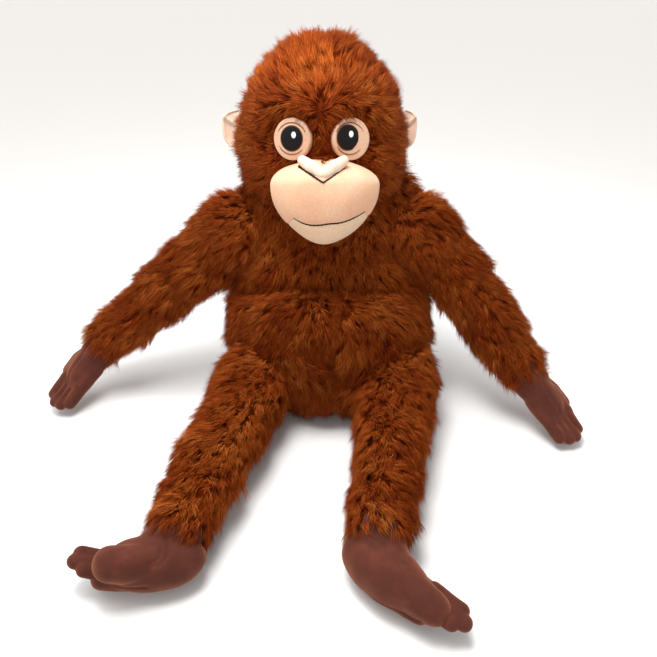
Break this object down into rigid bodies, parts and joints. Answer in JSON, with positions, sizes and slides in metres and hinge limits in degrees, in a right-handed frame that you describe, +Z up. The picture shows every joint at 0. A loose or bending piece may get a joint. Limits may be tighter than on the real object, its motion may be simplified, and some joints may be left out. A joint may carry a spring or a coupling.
{
  "type": "stuffed toy ape",
  "caption": "Long-armed stuffed ape toy in rust-brown fur fabric with a cream face, sewn hands and feet that grip, and limbs that bend and stay where they are put.",
  "frame": {"origin": "middle of the flat underside of the seat, where the toy rests on the floor", "axes": "+Z up, the toy faces -Y, and +X is the toy's own left"},
  "size_m": [0.6039, 0.5087, 0.3872],
  "materials": {
    "fur": "matte",
    "stuffing": "matte",
    "velour": "matte",
    "cream": "matte",
    "pale": "matte",
    "ear": "matte",
    "thread": "matte",
    "iris": "satin",
    "pupil": "satin",
    "white": "matte",
    "pad": "matte"
  },
  "bodies": {
    "torso": {"torso_cover": "fur", "torso_stuffing": "stuffing", "care_label": "white"},
    "neck": {"neck_stuffing": "stuffing"},
    "head": {"head_cover": "fur", "head_stuffing": "stuffing", "muzzle": "cream", "chin": "cream", "mouth_line": "thread", "nose": "pale", "nostril_line": "thread", "eye_patch_l": "pale", "iris_l": "iris", "pupil_l": "pupil", "glint_l": "white", "eye_patch_r": "pale", "iris_r": "iris", "pupil_r": "pupil", "glint_r": "white"},
    "ear_l": {"ear_cover_l": "ear"},
    "shoulder_l": {"shoulder_wad_l": "stuffing"},
    "upper_arm_l": {"upper_arm_l_cover": "fur", "upper_arm_l_stuffing": "stuffing"},
    "forearm_l": {"forearm_l_cover": "fur", "forearm_l_stuffing": "stuffing"},
    "hand_l": {"hand_cover_l": "velour", "thumb_l": "velour", "palm_pad_l": "pad"},
    "fingers_l": {"fingers_l_cover": "velour"},
    "hip_l": {"hip_wad_l": "stuffing"},
    "thigh_l": {"thigh_l_cover": "fur", "thigh_l_stuffing": "stuffing"},
    "shin_l": {"shin_l_cover": "fur", "shin_l_stuffing": "stuffing"},
    "foot_l": {"foot_cover_l": "velour", "big_toe_l": "velour", "sole_pad_l": "pad"},
    "toes_l": {"toes_l_cover": "velour"},
    "ear_r": {"ear_cover_r": "ear"},
    "shoulder_r": {"shoulder_wad_r": "stuffing"},
    "upper_arm_r": {"upper_arm_r_cover": "fur", "upper_arm_r_stuffing": "stuffing"},
    "forearm_r": {"forearm_r_cover": "fur", "forearm_r_stuffing": "stuffing"},
    "hand_r": {"hand_cover_r": "velour", "thumb_r": "velour", "palm_pad_r": "pad"},
    "fingers_r": {"fingers_r_cover": "velour"},
    "hip_r": {"hip_wad_r": "stuffing"},
    "thigh_r": {"thigh_r_cover": "fur", "thigh_r_stuffing": "stuffing"},
    "shin_r": {"shin_r_cover": "fur", "shin_r_stuffing": "stuffing"},
    "foot_r": {"foot_cover_r": "velour", "big_toe_r": "velour", "sole_pad_r": "pad"},
    "toes_r": {"toes_r_cover": "velour"}
  },
  "joints": [
    {"name": "neck_nod", "type": "hinge", "parent": "torso", "child": "neck", "pos_m": [-0.005, 0.036, 0.204], "axis": [-1, 0, 0], "range_deg": [-8, 20]},
    {"name": "head_turn", "type": "hinge", "parent": "neck", "child": "head", "pos_m": [-0.005, 0.036, 0.204], "axis": [0, 0, 1], "range_deg": [-35, 35]},
    {"name": "ear_fold_l", "type": "hinge", "parent": "head", "child": "ear_l", "pos_m": [0.08296, 0.05178, 0.28945], "axis": [0, 0.342, 0.9397], "range_deg": [-20, 20], "stiffness_Nm_per_rad": 0.02},
    {"name": "shoulder_swing_l", "type": "hinge", "parent": "torso", "child": "shoulder_l", "pos_m": [0.101, 0.018, 0.187], "axis": [-1, 0, 0], "range_deg": [-15, 120]},
    {"name": "shoulder_spread_l", "type": "hinge", "parent": "shoulder_l", "child": "upper_arm_l", "pos_m": [0.101, 0.018, 0.187], "axis": [0, -1, 0], "range_deg": [-6, 45]},
    {"name": "elbow_l", "type": "hinge", "parent": "upper_arm_l", "child": "forearm_l", "pos_m": [0.157, -0.013, 0.134], "axis": [-0.8305, -0.16, -0.5335], "range_deg": [0, 75]},
    {"name": "wrist_l", "type": "hinge", "parent": "forearm_l", "child": "hand_l", "pos_m": [0.215, -0.064, 0.059], "axis": [0.8288, 0.5429, 0.1357], "range_deg": [-25, 25]},
    {"name": "finger_curl_l", "type": "hinge", "parent": "hand_l", "child": "fingers_l", "pos_m": [0.24859, -0.10688, 0.02541], "axis": [0.8288, 0.5429, 0.1357], "range_deg": [0, 60]},
    {"name": "hip_lift_l", "type": "hinge", "parent": "torso", "child": "hip_l", "pos_m": [0.078, -0.064, 0.047], "axis": [-1, 0, 0], "range_deg": [-85, 0]},
    {"name": "hip_spread_l", "type": "hinge", "parent": "hip_l", "child": "thigh_l", "pos_m": [0.078, -0.064, 0.047], "axis": [0, 0, 1], "range_deg": [0, 30]},
    {"name": "knee_l", "type": "hinge", "parent": "thigh_l", "child": "shin_l", "pos_m": [0.061, -0.17, 0.04], "axis": [0.9829, -0.1843, 0], "range_deg": [0, 70]},
    {"name": "ankle_l", "type": "hinge", "parent": "shin_l", "child": "foot_l", "pos_m": [0.043, -0.266, 0.034], "axis": [0, 0, 1], "range_deg": [-28, 20]},
    {"name": "toe_curl_l", "type": "hinge", "parent": "foot_l", "child": "toes_l", "pos_m": [0.07824, -0.33002, 0.0215], "axis": [0.6823, 0.7311, 0], "range_deg": [0, 60]},
    {"name": "ear_fold_r", "type": "hinge", "parent": "head", "child": "ear_r", "pos_m": [-0.09596, 0.05178, 0.28945], "axis": [0, -0.342, -0.9397], "range_deg": [-20, 20], "stiffness_Nm_per_rad": 0.02},
    {"name": "shoulder_swing_r", "type": "hinge", "parent": "torso", "child": "shoulder_r", "pos_m": [-0.104, 0.018, 0.187], "axis": [-1, 0, 0], "range_deg": [-15, 120]},
    {"name": "shoulder_spread_r", "type": "hinge", "parent": "shoulder_r", "child": "upper_arm_r", "pos_m": [-0.104, 0.018, 0.187], "axis": [0, 1, 0], "range_deg": [-6, 45]},
    {"name": "elbow_r", "type": "hinge", "parent": "upper_arm_r", "child": "forearm_r", "pos_m": [-0.179, 0.009, 0.128], "axis": [-0.6483, 0.2188, 0.7293], "range_deg": [0, 75]},
    {"name": "wrist_r", "type": "hinge", "parent": "forearm_r", "child": "hand_r", "pos_m": [-0.26, -0.011, 0.062], "axis": [0.8058, -0.5745, -0.1436], "range_deg": [-25, 25]},
    {"name": "finger_curl_r", "type": "hinge", "parent": "hand_r", "child": "fingers_r", "pos_m": [-0.29548, -0.0524, 0.02849], "axis": [0.8058, -0.5745, -0.1436], "range_deg": [0, 60]},
    {"name": "hip_lift_r", "type": "hinge", "parent": "torso", "child": "hip_r", "pos_m": [-0.078, -0.064, 0.047], "axis": [-1, 0, 0], "range_deg": [-85, 0]},
    {"name": "hip_spread_r", "type": "hinge", "parent": "hip_r", "child": "thigh_r", "pos_m": [-0.078, -0.064, 0.047], "axis": [0, 0, -1], "range_deg": [0, 30]},
    {"name": "knee_r", "type": "hinge", "parent": "thigh_r", "child": "shin_r", "pos_m": [-0.106, -0.168, 0.04], "axis": [0.9725, -0.233, 0], "range_deg": [0, 70]},
    {"name": "ankle_r", "type": "hinge", "parent": "shin_r", "child": "foot_r", "pos_m": [-0.129, -0.264, 0.034], "axis": [0, 0, 1], "range_deg": [-5, 30]},
    {"name": "toe_curl_r", "type": "hinge", "parent": "foot_r", "child": "toes_r", "pos_m": [-0.1899, -0.29663, 0.0215], "axis": [0.1168, -0.9932, 0], "range_deg": [0, 60]}
  ]
}
